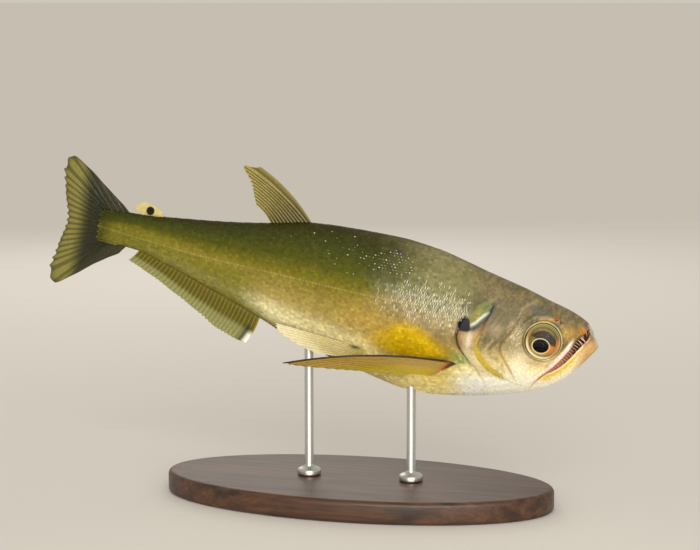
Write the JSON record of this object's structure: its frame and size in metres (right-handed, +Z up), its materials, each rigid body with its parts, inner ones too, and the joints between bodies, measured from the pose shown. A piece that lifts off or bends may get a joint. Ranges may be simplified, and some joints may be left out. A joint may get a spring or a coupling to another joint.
{
  "type": "payara fish model on a stand",
  "caption": "Life-size payara, a slender long-fanged river fish, swimming nose-down over a small oval base on two steel rods.",
  "frame": {"origin": "centre of the underside of the stand's base", "axes": "+X towards the fish's head, +Y towards its left side, +Z up"},
  "size_m": [0.2004, 0.066, 0.1196],
  "materials": {
    "back": "wet skin, olive",
    "flank": "wet scales, golden olive",
    "cheek": "silvery gold",
    "jaw": "cream and orange",
    "eye": "glassy",
    "fin": "clear olive membrane",
    "stand_wood": "oiled dark walnut",
    "stand_steel": "satin"
  },
  "bodies": {
    "root": {"head": "back", "lower_jaw": "jaw", "gill_cover_right": "cheek", "gill_cover_left": "cheek", "eye_right": "eye", "eye_left": "eye", "trunk": "flank", "tail": "flank", "dorsal_fin": "fin", "adipose_fin": "fin", "anal_fin": "fin", "caudal_fin": "fin", "pectoral_fin_right": "fin", "pectoral_fin_left": "fin", "pelvic_fin_right": "fin", "pelvic_fin_left": "fin", "stand_base": "stand_wood", "stand_rod_front": "stand_steel", "stand_rod_rear": "stand_steel"}
  },
  "joints": []
}
